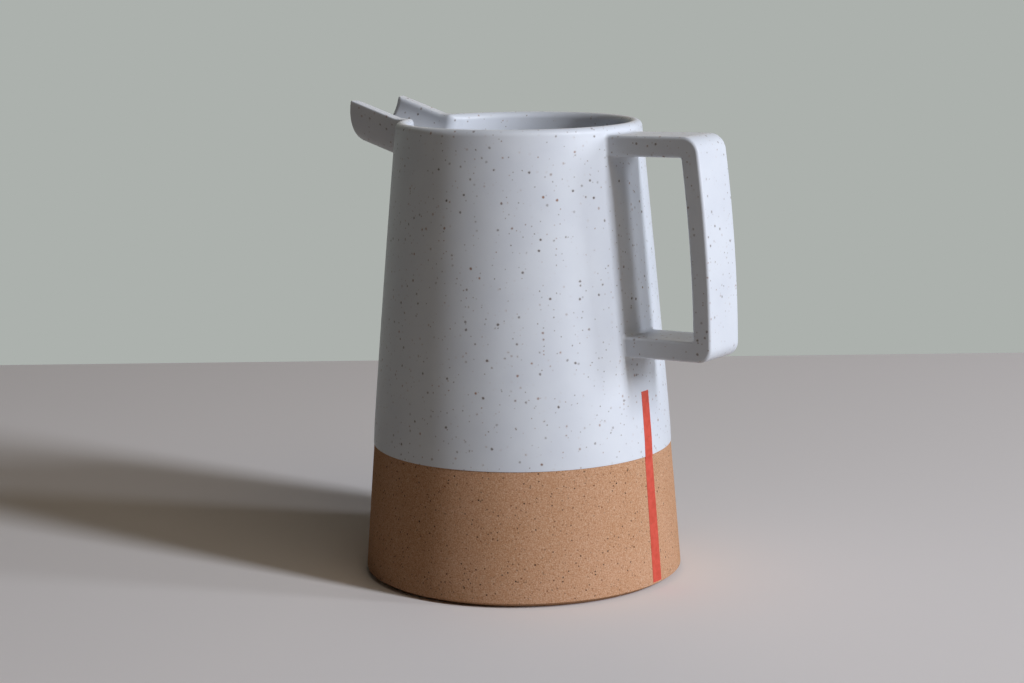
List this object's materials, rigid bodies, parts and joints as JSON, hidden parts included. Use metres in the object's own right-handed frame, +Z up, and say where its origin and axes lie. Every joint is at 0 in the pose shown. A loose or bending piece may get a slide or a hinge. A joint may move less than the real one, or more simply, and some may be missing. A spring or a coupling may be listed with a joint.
{
  "type": "carafe",
  "caption": "Tapered stoneware carafe with a half-pipe pouring spout, a square strap handle, speckled white glaze over a bare clay band and a thin red stripe.",
  "frame": {"origin": "centre of the flat underside, on the axis of the round body", "axes": "+Z up along the body's axis, +X towards the handle, -X towards the spout, Y across"},
  "size_m": [0.1863, 0.1414, 0.2082],
  "materials": {
    "bare_stoneware": "bare sandy tan stoneware, matte, with fine grain and dark specks",
    "white_glaze": "satin white glaze with scattered brown iron specks",
    "joining_slip": "fired slip of the same clay, matte",
    "red_paint": "satin red-orange underglaze colour"
  },
  "bodies": {
    "root": {"floor_slab": "bare_stoneware", "floor_coil": "bare_stoneware", "body_wall": "bare_stoneware", "white_glaze": "white_glaze", "spout_trough": "white_glaze", "spout_slip": "joining_slip", "handle_upper_arm": "white_glaze", "handle_grip": "white_glaze", "handle_lower_arm": "white_glaze", "upper_mitre_slip": "joining_slip", "lower_mitre_slip": "joining_slip", "upper_seat_slip": "joining_slip", "lower_seat_slip": "joining_slip", "red_stripe": "red_paint"}
  },
  "joints": []
}
